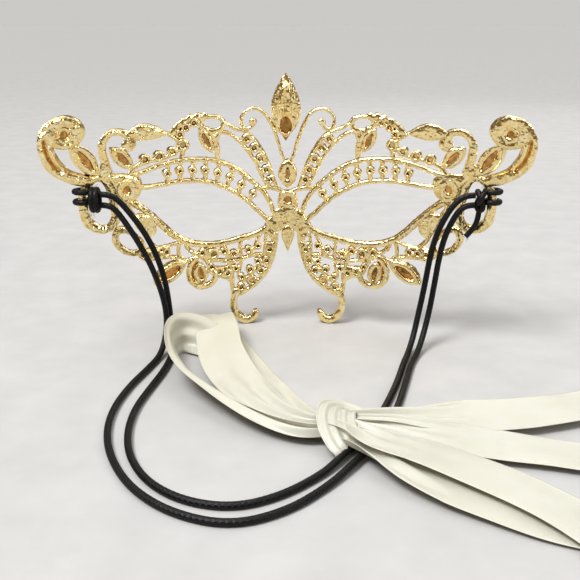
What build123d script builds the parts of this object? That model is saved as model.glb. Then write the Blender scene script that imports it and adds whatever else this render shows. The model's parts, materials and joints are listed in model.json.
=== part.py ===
from build123d import *
import math
import os

# Open filigree carnival mask of cast and soldered gilt metal, set with crystals, on a doubled
# elastic with a satin ribbon tied round it.
# Millimetres. +X is the wearer's right, +Y points out of the decorated front, +Z is up.
# The origin is the point of the nose bridge that rests on the wearer's face.

os.makedirs("parts", exist_ok=True)

# ---------------------------------------------------------------- driving dimensions
HALF_WIDTH = 95.0        # nose bridge to the temple hook's outer edge
FACE_SAG = 40.0          # how far the temples wrap back behind the nose bridge
TABLE_Z = -47.0          # where the two foot curls stand
SHEET = 2.4              # depth of the cast wires, front to back
WIRE = 2.0               # width of a plain wire
RIM = 2.7                # width of the heavy rims
CUP_DEPTH = 4.2          # depth of a stone's cup
CUP_WALL = 1.0           # wall of a stone's cup
CUP_SINK = 0.4           # how far a cup stands out of the wearer's side
LIP = 0.5                # thickness of the lip that holds a stone from behind
LIP_SHARE = 0.4          # open part of a round cup's back, as a share of its size
SLIT_LONG = 0.62         # length of the slit in a leaf cup's back, as a share of the cup's
SLIT_WIDE = 0.3          # width of that slit, as a share of the cup's
STONE_SEAT = 1.5         # depth of a stone's widest line inside its cup
STONE_GAP = 0.05         # clearance round a stone
CREST_X = -0.8           # the crest leans a little to the wearer's left
CORD = 2.5               # diameter of the elastic
STRAP_X = 76.0           # where the free elastic leaves the hitch and the knot
STRAP_Y = -28.0          # axis that the strap swings about
STRAP_Z = 16.2
RIBBON = 18.0            # width of the satin ribbon

FACE_RADIUS = (HALF_WIDTH**2 + FACE_SAG**2) / (2 * FACE_SAG)
REACH = 70.0             # sketches are pushed this far both ways before they are trimmed
CORD_Z = TABLE_Z + CORD / 2 + 0.05
LIFT = 1.0               # how far the ribbon lifts the strands that it is tied round
RIBBON_Z = TABLE_Z + CORD + LIFT + 0.3


# ---------------------------------------------------------------- helpers
def face_y(x):
    """Depth of the wearer's face of the mask at a sideways distance."""
    return math.sqrt(FACE_RADIUS**2 - x**2) - FACE_RADIUS


def face_point(x, z):
    """Point on the wearer's face of the mask."""
    return Vector(x, face_y(x), z)


def tangent_plane(x, z):
    """Plane touching the wearer's face at a point, its normal pointing out of the front."""
    normal = Vector(x, face_y(x) + FACE_RADIUS, 0)
    return Plane(face_point(x, z), x_dir=Vector(normal.Y, -normal.X, 0), z_dir=normal)


def leaf_plane(tip_a, tip_b):
    """Tangent plane at the middle of a leaf, its X axis running from one tip to the other."""
    middle = tangent_plane((tip_a[0] + tip_b[0]) / 2, (tip_a[1] + tip_b[1]) / 2)
    return Plane(middle.origin, x_dir=face_point(*tip_b) - face_point(*tip_a), z_dir=middle.z_dir)


def half_length(tip_a, tip_b):
    """Half the distance between a leaf's two tips, measured on the curved face."""
    return (face_point(*tip_b) - face_point(*tip_a)).length / 2


def curved_sheet(behind, before):
    """Upright cylinder wall from one depth behind the wearer's face to another before it."""
    with BuildPart() as wall:
        with BuildSketch(Plane.XY.offset(-60)):
            with Locations((0, -FACE_RADIUS)):
                Circle(FACE_RADIUS + before)
                Circle(FACE_RADIUS - behind, mode=Mode.SUBTRACT)
        extrude(amount=140)
    return wall.part


WIRE_SHEET = curved_sheet(0, SHEET)
PLATE_SHEET = curved_sheet(0, 1.6)
THICK_SHEET = curved_sheet(0.5, SHEET + 0.6)
GROOVE_SHEET = curved_sheet(1.0, 0.5)


def wire(*points, width=WIRE):
    """Draws a wire with round ends through points of the sketch."""
    with BuildLine() as path:
        Spline(*points)
    trace(path.line, line_width=width)
    with Locations(points[0], points[-1]):
        Circle(width / 2)


def outline(*points, mode=Mode.ADD):
    """Draws a filled shape with one smooth closed edge."""
    with BuildLine() as edge:
        Spline(*points, periodic=True)
    make_face(edge.edges(), mode=mode)


def blade(upper, lower, mode=Mode.ADD):
    """Draws a filled shape between two smooth edges that share their ends."""
    with BuildLine() as edge:
        Spline(*upper)
        Spline(*lower)
    make_face(edge.edges(), mode=mode)


def beads(points, radius):
    """Draws a round bead at each point."""
    with Locations(*points):
        Circle(radius)


def marquise(half_long, half_wide, mode=Mode.ADD):
    """Draws a pointed oval along the sketch's X axis."""
    with BuildLine() as edge:
        ThreePointArc((-half_long, 0), (0, half_wide), (half_long, 0))
        ThreePointArc((half_long, 0), (0, -half_wide), (-half_long, 0))
    make_face(edge.edges(), mode=mode)


def round_cup(x, z, radius, wall=CUP_WALL, depth=CUP_DEPTH, opening=LIP_SHARE):
    """Adds a round cup to the part, its back open inside a thin lip."""
    back = tangent_plane(x, z).offset(-CUP_SINK)
    with BuildSketch(back.offset(-1)) as bore:
        Circle(radius - wall)
    extrude(bore.sketch, amount=depth + 2, mode=Mode.SUBTRACT)
    with BuildSketch(back) as ring:
        Circle(radius)
        Circle(radius - wall, mode=Mode.SUBTRACT)
    extrude(ring.sketch, amount=depth)
    with BuildSketch(back) as lip:
        Circle(radius - wall / 2)
        Circle(opening * radius, mode=Mode.SUBTRACT)
    extrude(lip.sketch, amount=LIP)


def leaf_cup(tip_a, tip_b, half_wide, wall=CUP_WALL, depth=CUP_DEPTH, slit=SLIT_WIDE):
    """Adds a pointed cup to the part, its back open in a slit inside a thin lip."""
    long = half_length(tip_a, tip_b)
    back = leaf_plane(tip_a, tip_b).offset(-CUP_SINK)
    with BuildSketch(back) as ring:
        marquise(long, half_wide)
        marquise(long - 1.8 * wall, half_wide - wall, mode=Mode.SUBTRACT)
    extrude(ring.sketch, amount=depth)
    with BuildSketch(back) as lip:
        marquise(long - wall, half_wide - wall / 2)
        marquise(SLIT_LONG * long, slit * half_wide, mode=Mode.SUBTRACT)
    extrude(lip.sketch, amount=LIP)


def cut_stone(plane, sides, radius, crown=1.2, pavilion=1.3):
    """Adds a round faceted stone whose widest line lies in the plane."""
    with BuildSketch(plane) as girdle:
        RegularPolygon(radius, sides)
    extrude(girdle.sketch, amount=crown, taper=32)
    extrude(girdle.sketch, amount=-pavilion, taper=40)


def leaf_stone(tip_a, tip_b, half_wide, wall=CUP_WALL):
    """Adds a pointed faceted stone that fills a leaf cup."""
    long = half_length(tip_a, tip_b) - 1.8 * wall - STONE_GAP
    wide = half_wide - wall - STONE_GAP
    corners = [(long, 0), (0.72 * long, 0.5 * wide), (0.3 * long, 0.92 * wide)]
    upper = corners + [(-x, y) for x, y in reversed(corners)]
    lower = [(x, -y) for x, y in reversed(upper[1:-1])]
    plane = leaf_plane(tip_a, tip_b).offset(STONE_SEAT)
    with BuildSketch(plane) as girdle:
        Polygon(*upper, *lower, align=None)
    extrude(girdle.sketch, amount=1.5, taper=25)
    extrude(girdle.sketch, amount=-1.0, taper=30)


def round_stone(x, z, cup_radius, wall=CUP_WALL, sides=12):
    """Adds a round stone that fills a round cup."""
    cut_stone(tangent_plane(x, z).offset(STONE_SEAT), sides, cup_radius - wall - STONE_GAP)


def save(builder, name):
    """Labels a finished piece and writes it."""
    builder.part.label = name
    export_step(builder.part, f"parts/{name}.step")


def save_pair(builder, name):
    """Writes a right-hand piece and its mirror image, the left-hand piece."""
    save(builder, f"{name}_right")
    with BuildPart() as left:
        mirror(builder.part, about=Plane.YZ)
    save(left, f"{name}_left")


# ---------------------------------------------------------------- nose and crest
with BuildPart() as nose_bridge:
    with BuildSketch(Plane.XZ):
        outline((0, 7.2), (4, 6.6), (6.6, 4.4), (8.6, 1.4), (10.6, -1.6), (9.2, -4.6), (7.2, -8.4),
                (5.2, -6.0), (3.0, -3.6), (0, -3.0), (-3.0, -3.6), (-5.2, -6.0), (-7.2, -8.4),
                (-9.2, -4.6), (-10.6, -1.6), (-8.6, 1.4), (-6.6, 4.4), (-4, 6.6))
    extrude(amount=REACH, both=True)
    add(WIRE_SHEET, mode=Mode.INTERSECT)
save(nose_bridge, "nose_bridge")

with BuildPart() as nose_leaf:
    with BuildSketch(Plane.XZ):
        blade([(0, -1.0), (2.7, -3.6), (2.2, -8), (0, -14)], [(0, -14), (-2.2, -8), (-2.7, -3.6),
                                                              (0, -1.0)])
    extrude(amount=REACH, both=True)
    add(THICK_SHEET, mode=Mode.INTERSECT)
save(nose_leaf, "nose_leaf")

CENTRE_CUP = (0, 10.4, 3.9)
with BuildPart() as centre_cup:
    with BuildSketch(Plane.XZ):
        wire((-10.2, 15.4), (-6, 15.2), (-2.6, 14.2), (0, 13.4), (2.6, 14.2), (6, 15.2), (10.2, 15.4),
             width=1.9)
        wire((-3.2, 12.5), (-3.7, 9), (-3.4, 5.5), width=1.5)
        wire((3.2, 12.5), (3.7, 9), (3.4, 5.5), width=1.5)
    extrude(amount=REACH, both=True)
    add(WIRE_SHEET, mode=Mode.INTERSECT)
    round_cup(*CENTRE_CUP)
save(centre_cup, "centre_cup")

TEAR_TIPS = ((0, 28.0), (0, 15.6))
with BuildPart() as teardrop_cup:
    leaf_cup(*TEAR_TIPS, 4.1, wall=1.9, slit=0.14)
save(teardrop_cup, "teardrop_cup")

CREST_TOP = 64.5
CREST_FOOT = 37.4
CREST_WINDOW = ((CREST_X, 46.2), (CREST_X, 39.0))
with BuildPart() as crest_cup:
    with BuildSketch(Plane.XZ):
        blade([(CREST_X, CREST_TOP), (CREST_X + 3.7, 58.5), (CREST_X + 6.3, 50), (CREST_X + 4.6, 42),
               (CREST_X, CREST_FOOT)],
              [(CREST_X, CREST_FOOT), (CREST_X - 4.6, 42), (CREST_X - 6.3, 50), (CREST_X - 3.7, 58.5),
               (CREST_X, CREST_TOP)])
    extrude(amount=REACH, both=True)
    add(WIRE_SHEET, mode=Mode.INTERSECT)
    with BuildSketch(leaf_plane((CREST_X, 61), (CREST_X, 43))):
        marquise(9.5, 3.4)
    extrude(amount=-1.3, taper=45)
    with BuildSketch(leaf_plane(*CREST_WINDOW).offset(-3)):
        marquise(3.7, 2.4)
    extrude(amount=8, mode=Mode.SUBTRACT)
save(crest_cup, "crest_cup")

with BuildPart() as antenna:
    with BuildSketch(Plane.XZ):
        wire((1.2, 26.6), (3.0, 31.5), (4.6, 37), (7.0, 43), (10.4, 47.9), (14.6, 49.6), (18.4, 47.8),
             (19.9, 44.2), (18.8, 41.4), (16.4, 41.2), (14.7, 43.4), width=1.5)
        beads([(14.7, 43.8)], 1.7)
    extrude(amount=REACH, both=True)
    add(WIRE_SHEET, mode=Mode.INTERSECT)
save_pair(antenna, "antenna")

# ---------------------------------------------------------------- eyelids
with BuildPart() as upper_lid:
    with BuildSketch(Plane.XZ):
        wire((71, 22.8), (65.5, 23.6), (60, 25.1), (53, 27.3), (45, 28.8), (37, 28.7), (30, 27.6),
             (22, 23.8), (15, 18.2), (10.5, 13.6), (7.6, 8.6), (6.2, 3.6), width=2.1)
    extrude(amount=REACH, both=True)
    add(WIRE_SHEET, mode=Mode.INTERSECT)
save_pair(upper_lid, "upper_lid_rail")

with BuildPart() as lower_lid:
    with BuildSketch(Plane.XZ):
        wire((62.6, 18.9), (58, 18.5), (53, 19.0), (45, 19.8), (37, 19.4), (30, 17.5), (23.6, 14.3),
             (17.6, 9.8), (12, 4.3), (8, 0.6), width=2.0)
    extrude(amount=REACH, both=True)
    add(WIRE_SHEET, mode=Mode.INTERSECT)
save_pair(lower_lid, "lower_lid_rail")

LID_POSTS = (((13.2, 16.4), (15.2, 13.0), (17.2, 9.6)), ((18.2, 20.9), (20.0, 17.2), (22.0, 13.2)),
             ((23.8, 24.9), (25.0, 20.5), (26.6, 15.9)), ((29.6, 27.4), (30.0, 22.6), (30.8, 17.8)),
             ((35.0, 28.4), (35.3, 23.9), (35.6, 19.2)), ((40.2, 28.8), (40.5, 24.3), (40.8, 19.7)),
             ((45.4, 28.7), (45.7, 24.3), (46.0, 19.8)), ((50.6, 27.8), (50.8, 23.6), (51.2, 19.4)))
LID_CHATONS = tuple((*middle, 1.7) for top, middle, bottom in LID_POSTS)
with BuildPart() as lid_posts:
    with BuildSketch(Plane.XZ):
        for top, middle, bottom in LID_POSTS:
            wire(top, middle, bottom, width=1.5)
    extrude(amount=REACH, both=True)
    add(WIRE_SHEET, mode=Mode.INTERSECT)
    for x, z, radius in LID_CHATONS:
        round_cup(x, z, radius, wall=0.6, depth=3.0)
save_pair(lid_posts, "lid_posts")

with BuildPart() as eye_rim:
    with BuildSketch(Plane.XZ):
        wire((65.2, 12.6), (62.4, 10.2), (58, 5.8), (53, 0.2), (48, -4.8), (42, -7.8), (35, -9.0),
             (28, -8.6), (20, -6.8), (13, -4.6), (8.5, -1.6), width=RIM)
    extrude(amount=REACH, both=True)
    add(WIRE_SHEET, mode=Mode.INTERSECT)
save_pair(eye_rim, "lower_eye_rim")

# ---------------------------------------------------------------- brow
BAND_CHATONS = ((17.6, 36.9, 2.1), (14.4, 33.0, 2.1), (11.7, 28.4, 2.2), (9.4, 23.6, 2.1), (7.6, 19.2, 1.9))
with BuildPart() as brow_band:
    with BuildSketch(Plane.XZ):
        wire((31, 38.4), (28.6, 39.9), (25.6, 39.5), (21.2, 36.4), (17.2, 31.8), (13.9, 26.6), (11.2, 20.8),
             (8.6, 16.6), (6.0, 14.9), width=1.6)
        wire((27.4, 44.4), (23.8, 42.0), (20.4, 40.6), (16.6, 38.8), (12.8, 34.6), (9.8, 29.4), (7.6, 24),
             (5.9, 18.6), (4.6, 15.2), width=1.6)
    extrude(amount=REACH, both=True)
    add(WIRE_SHEET, mode=Mode.INTERSECT)
    for x, z, radius in BAND_CHATONS:
        round_cup(x, z, radius, wall=0.75, depth=3.4)
save_pair(brow_band, "inner_brow_band")

ARCH_CENTRE = (36.4, 34.6)


def arch_place(degrees, reach):
    """Point of the brow arch at an angle and a distance from its centre."""
    turn = math.radians(degrees)
    return (ARCH_CENTRE[0] + reach * math.cos(turn), ARCH_CENTRE[1] + reach * math.sin(turn))


ARCH_CHATONS = tuple((*arch_place(degrees, 9.9), 1.9) for degrees in (30, 52, 74))
with BuildPart() as brow_arch:
    with BuildSketch(Plane.XZ):
        wire((48.4, 40.2), (46.2, 43.0), (42.8, 45.2), (39.4, 46.2), (36.2, 46.6), width=2.2)
        beads([arch_place(28 + 14 * step, 12.6) for step in range(6)], 1.25)
        with Locations((31.8, 43.6)):
            Ellipse(5.6, 3.9)
            Ellipse(3.7, 2.0, mode=Mode.SUBTRACT)
        wire((34.2, 41.4), (31.7, 38.6), (30.5, 35.4), (30.1, 32.2), (30.1, 27.8), width=2.4)
        wire((27.6, 41.6), (29.4, 38.8), (30.4, 35.6), width=1.8)
    extrude(amount=REACH, both=True)
    add(WIRE_SHEET, mode=Mode.INTERSECT)
    for x, z, radius in ARCH_CHATONS:
        round_cup(x, z, radius, wall=0.7, depth=3.4)
save_pair(brow_arch, "brow_arch")

BROW_LEAF = ((36.8, 42.0), (31.8, 31.2))
with BuildPart() as brow_leaf:
    leaf_cup(*BROW_LEAF, 2.7, wall=0.9)
    mirror(about=Plane.YZ)
save(brow_leaf, "brow_leaf_cups")

with BuildPart() as brow_swoosh:
    with BuildSketch(Plane.XZ):
        blade([(47.6, 40.0), (52.5, 42.2), (57.8, 44.7), (62, 44.0), (65.8, 40.8)],
              [(65.8, 40.8), (62, 38.2), (57.5, 37.9), (52.5, 38.9), (47.6, 40.0)])
    extrude(amount=REACH, both=True)
    add(WIRE_SHEET, mode=Mode.INTERSECT)
save_pair(brow_swoosh, "brow_swoosh")

# ---------------------------------------------------------------- temple
SCROLL_OVAL = ((71.2, 35.8), (63.8, 26.8))
with BuildPart() as outer_scroll:
    with BuildSketch(Plane.XZ):
        wire((72.6, 22.6), (73.6, 28), (74.8, 33.6), (74.2, 38.6), (71, 41.8), (67.2, 41.6),
             (65.4, 39.2), width=2.8)
        blade([(70.6, 22.4), (72.6, 27), (74.2, 34)], [(74.2, 34), (76.0, 28.6), (76.2, 23.0),
                                                       (70.6, 22.4)])
        outline((65.8, 38.6), (67.8, 36.6), (67.2, 34.6), (64.2, 34.0), (62.4, 35.6), (62.8, 38.2))
    extrude(amount=REACH, both=True)
    add(WIRE_SHEET, mode=Mode.INTERSECT)
    leaf_cup(*SCROLL_OVAL, 3.3)
save_pair(outer_scroll, "outer_scroll")

ROW_CHATONS = ((59.0, 30.0, 2.3), (53.4, 31.1, 2.3), (48.2, 32.6, 2.2), (43.9, 35.2, 2.7))
with BuildPart() as chaton_row:
    with BuildSketch(Plane.XZ):
        wire((65.6, 24.2), (63.4, 27.0), (60, 28.7), (56, 29.6), (52, 30.2), (48.4, 31.6), (45.4, 34.0),
             width=1.8)
        wire((49.6, 39.8), (47.4, 38.2), (45.6, 36.6), width=1.6)
        wire((44.0, 33.0), (44.6, 31.0), (45.0, 29.0), width=2.0)
    extrude(amount=REACH, both=True)
    add(WIRE_SHEET, mode=Mode.INTERSECT)
    for x, z, radius in ROW_CHATONS:
        round_cup(x, z, radius, wall=0.7, depth=3.4)
save_pair(chaton_row, "brow_chaton_row")

HOOK_CUP = (86.8, 42.6, 4.7)
HOOK_DISC = (86.6, 43.2)
with BuildPart() as hook_groove:
    with BuildSketch(Plane.XZ):
        wire((89.2, 29.2), (91.4, 32.6), (92.8, 36.8), (93.1, 40.6), width=1.2)
    extrude(amount=REACH, both=True)
    add(GROOVE_SHEET, mode=Mode.INTERSECT)

with BuildPart() as temple_hook:
    with BuildSketch(Plane.XZ):
        blade([(79.6, 20.8), (87.2, 24.0), (92.8, 29.4), (95, 36), (94.6, 43.5), (91, 48.6), (86, 49.8),
               (81.8, 47.2), (80.6, 42.8)],
              [(80.6, 42.8), (83.0, 43.2), (84.2, 45.8), (86.6, 47.0), (89.4, 45.6), (91.0, 42.2),
               (90.9, 36.8),
               (88.8, 31.6), (85.2, 27.6), (79.6, 24.8), (79.6, 20.8)])
        with Locations(HOOK_DISC):
            Circle(6.3)
    extrude(amount=REACH, both=True)
    add(THICK_SHEET, mode=Mode.INTERSECT)
    add(hook_groove.part, mode=Mode.SUBTRACT)
    round_cup(*HOOK_CUP, opening=0.3)
save_pair(temple_hook, "temple_hook")

TEMPLE_LEAF = ((84.6, 38.8), (76.2, 24.8))
with BuildPart() as temple_leaf:
    leaf_cup(*TEMPLE_LEAF, 4.0)
    mirror(about=Plane.YZ)
save(temple_leaf, "temple_leaf_cups")

PLATE_CUP = (66.8, 18.2, 4.2)
with BuildPart() as temple_plate:
    with BuildSketch(Plane.XZ):
        outline((76, 25.4), (71, 25.2), (65.4, 24.6), (61.2, 22), (61.0, 18), (63.6, 13.6), (67.4, 12.6),
                (71.2, 14.6), (71.8, 18.8), (74.0, 22.4))
    extrude(amount=REACH, both=True)
    add(PLATE_SHEET, mode=Mode.INTERSECT)
    round_cup(*PLATE_CUP, opening=0.3)
save_pair(temple_plate, "temple_plate")

with BuildPart() as strap_ring:
    with BuildSketch(Plane.XZ):
        outline((77, 26.0), (81.6, 23.2), (84.0, 17.4), (84.0, 10.4), (82.4, 4.8), (78.2, 1.4), (73.2, 1.6),
                (70.2, 5.0), (70.2, 10.4), (71.0, 16), (72.4, 22))
        outline((77, 22.6), (79.8, 20.4), (81.0, 15.6), (80.8, 10), (79.2, 6.0), (76.2, 4.4), (73.8, 6.0),
                (73.2, 10.4), (73.8, 15.6), (74.8, 20.4), mode=Mode.SUBTRACT)
    extrude(amount=REACH, both=True)
    add(WIRE_SHEET, mode=Mode.INTERSECT)
save_pair(strap_ring, "strap_ring")

with BuildPart() as lower_ring:
    with BuildSketch(Plane.XZ):
        outline((72.6, 2.0), (73.4, -3.4), (70.6, -8.2), (65.8, -10.6), (61.4, -9.6), (61.6, -5.0),
                (64.4, -1.0), (68.6, 2.6))
        outline((70.6, -0.6), (70.9, -3.6), (68.9, -6.6), (65.6, -8.2), (63.6, -7.2), (64.4, -4.0),
                (67.4, -0.8),
                mode=Mode.SUBTRACT)
    extrude(amount=REACH, both=True)
    add(WIRE_SHEET, mode=Mode.INTERSECT)
save_pair(lower_ring, "lower_temple_ring")

# ---------------------------------------------------------------- cheek
with BuildPart() as cheek_leaf:
    with BuildSketch(Plane.XZ):
        outline((57.6, 6.2), (61.4, 7.6), (64.6, 6.8), (64.8, 3.4), (62.8, -0.6), (60.2, -3.6),
                (57.4, -2.6), (56.0, 1.6))
        wire((67.4, 13.2), (66.4, 10), (64.8, 6.6), width=1.7)
        wire((60.4, -3), (58.8, -6), (56.4, -8.4), width=1.7)
    extrude(amount=REACH, both=True)
    add(PLATE_SHEET, mode=Mode.INTERSECT)
save_pair(cheek_leaf, "cheek_leaf")

CHEEK_BAND_CHATONS = ((52.6, -10.6, 2.0), (56.2, -10.8, 1.9), (59.6, -11.0, 1.9))
with BuildPart() as cheek_band:
    with BuildSketch(Plane.XZ):
        wire((46.6, -6.6), (52, -8.0), (58, -8.7), (63.6, -9.0), width=1.6)
        wire((46.4, -14.4), (51, -13.2), (56, -13.0), (61, -13.0), (63.6, -10.4), width=1.6)
        wire((46.8, -6.8), (47.8, -9.8), (47.6, -13.6), width=1.7)
    extrude(amount=REACH, both=True)
    add(WIRE_SHEET, mode=Mode.INTERSECT)
    for x, z, radius in CHEEK_BAND_CHATONS:
        round_cup(x, z, radius, wall=0.7, depth=3.4)
save_pair(cheek_band, "cheek_band")

CHEEK_LEAF_CUP = ((44.4, -15.6), (58.2, -24.8))
with BuildPart() as cheek_leaf_cup:
    leaf_cup(*CHEEK_LEAF_CUP, 3.9, slit=0.42)
    mirror(about=Plane.YZ)
save(cheek_leaf_cup, "cheek_leaf_cups")

LATTICE_CHATONS = ((32.8, -13.2, 2.6), (30.6, -21.6, 2.0), (26.8, -22.6, 1.9), (24.0, -13.8, 2.0),
                   (17.6, -12.2, 1.9), (13.3, -10.6, 1.6), (28.3, -12.4, 1.8), (37.6, -12.4, 1.8),
                   (33.9, -19.2, 1.7), (23.3, -20.6, 1.7))
with BuildPart() as cheek_lattice:
    with BuildSketch(Plane.XZ):
        wire((44.6, -7.2), (43.6, -10.4), (40.6, -12.6), (36.4, -16.2), (34.6, -19.0), (28.0, -20.2),
             (23.6, -19.6), width=1.8)
        wire((48.0, -14.8), (43.4, -15.2), (39.8, -12.8), (36.4, -9.6), width=1.7)
        wire((35.6, -9.4), (35.8, -12.6), (35.6, -16.8), width=1.9)
        wire((35.4, -16.6), (30, -16.6), (26, -17.2), (20.4, -16.2), (15.2, -14.8), (10.2, -15.2),
             width=1.6)
        wire((28.6, -9.6), (27.2, -13), (26.4, -17), (25.4, -20.4), (25.0, -24.0), (25.2, -29.0), width=1.9)
        wire((20.4, -7.6), (21.2, -11.6), (20.8, -16), (21.6, -20), (22.0, -25.0), width=1.8)
        wire((34.6, -19.4), (31.4, -23.6), (27.8, -24.6), (25.6, -26.6), width=1.6)
        wire((12.4, -5.6), (14.4, -9.8), (16.2, -14.2), width=1.6)
    extrude(amount=REACH, both=True)
    add(WIRE_SHEET, mode=Mode.INTERSECT)
    for x, z, radius in LATTICE_CHATONS:
        round_cup(x, z, radius, wall=0.75, depth=3.4)
save_pair(cheek_lattice, "cheek_lattice")

SCROLL_CUP = ((39.6, -16.6), (37.6, -26.8))
with BuildPart() as cheek_scroll:
    with BuildSketch(Plane.XZ):
        wire((40.4, -14.6), (43.0, -17.8), (43.8, -21.8), (42.2, -25.8), (38.6, -27.9), (34.6, -27.0),
             (32.4, -24.2), (32.2, -21.8), width=2.6)
    extrude(amount=REACH, both=True)
    add(THICK_SHEET, mode=Mode.INTERSECT)
    leaf_cup(*SCROLL_CUP, 3.4)
save_pair(cheek_scroll, "cheek_scroll")

WING_CHATONS = ((8.0, -12.2, 1.9), (9.6, -17.4, 2.0), (12.2, -22.0, 2.1), (16.2, -26.6, 2.6),
                (17.0, -21.4, 2.0), (21.0, -29.6, 2.0), (13.5, -17.6, 1.6), (20.8, -24.8, 1.8))
with BuildPart() as wing_lattice:
    with BuildSketch(Plane.XZ):
        wire((5.2, -5.0), (5.6, -10), (6.6, -15), (8.4, -20), (11.4, -25), (15.4, -29), (20, -31.9),
             (23.4, -33.4), width=2.1)
        wire((9.4, -4.6), (10.2, -9.4), (10.6, -14), (12.6, -18.4), (15.6, -22.6), (19, -25.8),
             (22.2, -28.4), width=1.6)
        wire((5.6, -9.0), (8.0, -9.8), (10.4, -9.6), width=1.5)
        wire((10.6, -14.4), (8.6, -14.8), (6.6, -14.6), width=1.5)
        wire((25.2, -26.0), (25.0, -29.6), (24.2, -33.2), width=2.0)
    extrude(amount=REACH, both=True)
    add(WIRE_SHEET, mode=Mode.INTERSECT)
    for x, z, radius in WING_CHATONS:
        round_cup(x, z, radius, wall=0.75, depth=3.4)
save_pair(wing_lattice, "wing_lattice")

FOOT_WIDTH = 3.2
FOOT_LOW = TABLE_Z + FOOT_WIDTH / 2
with BuildPart() as foot_curl:
    with BuildSketch(Plane.XZ):
        wire((23.2, -31.4), (24.6, -35.6), (24.4, -40.0), (22.4, FOOT_LOW + 2.0), (19.0, FOOT_LOW + 0.02),
             (16.0, FOOT_LOW + 1.2), (14.9, FOOT_LOW + 3.2), width=FOOT_WIDTH)
    extrude(amount=REACH, both=True)
    add(THICK_SHEET, mode=Mode.INTERSECT)
save_pair(foot_curl, "foot_curl")

# ---------------------------------------------------------------- stones
CREST_STONE = ((CREST_X, 63.0), (CREST_X, 35.6))
with BuildPart() as crest_crystal:
    long = half_length(*CREST_STONE)
    crest_outline = [(long, 0), (0.62 * long, 3.4), (0, 5.6), (-0.62 * long, 3.4), (-long, 0),
                     (-0.62 * long, -3.4), (0, -5.6), (0.62 * long, -3.4)]
    with BuildSketch(leaf_plane(*CREST_STONE).offset(SHEET)):
        Polygon(*crest_outline, align=None)
    extrude(amount=1.0)
    with BuildSketch(leaf_plane(*CREST_STONE).offset(SHEET + 1.0)):
        Polygon(*crest_outline, align=None)
    extrude(amount=2.4, taper=40)
save(crest_crystal, "crest_crystal")

ROUND_SETTINGS = (HOOK_CUP, PLATE_CUP)
LEAF_SETTINGS = ((TEMPLE_LEAF, 4.0, 1.0), (BROW_LEAF, 2.7, 0.9), (SCROLL_OVAL, 3.3, 1.0),
                 (CHEEK_LEAF_CUP, 3.9, 1.0), (SCROLL_CUP, 3.4, 1.0))
CHATON_SETTINGS = (LID_CHATONS + BAND_CHATONS + ARCH_CHATONS + ROW_CHATONS + CHEEK_BAND_CHATONS
                   + LATTICE_CHATONS + WING_CHATONS)

with BuildPart() as round_crystals:
    for x, z, radius in ROUND_SETTINGS:
        round_stone(x, z, radius)
    mirror(about=Plane.YZ)
    round_stone(*CENTRE_CUP)
save(round_crystals, "round_crystals")

with BuildPart() as leaf_crystals:
    for tips, half_wide, wall in LEAF_SETTINGS:
        leaf_stone(*tips, half_wide, wall)
    mirror(about=Plane.YZ)
    leaf_stone(*TEAR_TIPS, 4.1, 1.9)
save(leaf_crystals, "leaf_crystals")

with BuildPart() as chaton_crystals:
    for x, z, radius in CHATON_SETTINGS:
        cut_stone(tangent_plane(x, z).offset(1.4), 8, radius - 0.8, crown=0.7, pavilion=0.8)
    mirror(about=Plane.YZ)
save(chaton_crystals, "chaton_crystals")

# ---------------------------------------------------------------- hitch and knot of the elastic
BAND_RADIUS = 5.2
BAND_LENGTH = 3.6
WRAP_RADIUS = 3.0
WRAP_CORD = 2.3
WRAP_X = 82.7
WRAP_HEIGHTS = (15.4, 19.6)


def strap_end(builder_part):
    """Adds the band round the strands and the two wraps round the ring's outer bar, on the right."""
    with BuildSketch(Plane.YZ.offset(STRAP_X)) as band:
        with Locations((STRAP_Y, STRAP_Z)):
            Circle(BAND_RADIUS)
    extrude(band.sketch, amount=BAND_LENGTH)
    fillet(builder_part.edges().filter_by(GeomType.CIRCLE), radius=0.8)
    for height in WRAP_HEIGHTS:
        with Locations((WRAP_X, face_y(WRAP_X) + SHEET / 2, height)):
            Torus(WRAP_RADIUS, WRAP_CORD / 2)


with BuildPart() as right_end:
    strap_end(right_end)

with BuildPart() as hitch_left:
    mirror(right_end.part, about=Plane.YZ)
save(hitch_left, "hitch_left")

with BuildPart() as knot_right:
    add(right_end.part)
    with BuildLine() as tail:
        FilletPolyline((78.2, -26.4, 15), (78.0, -26.4, 8.4), (76.2, -26.2, 3.6), (73.4, -25.9, 0.4),
                       radius=4)
    with BuildSketch(Plane(tail.line @ 0, z_dir=tail.line % 0)):
        Circle(WRAP_CORD / 2)
    sweep(path=tail.line)
save(knot_right, "knot_right")

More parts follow.
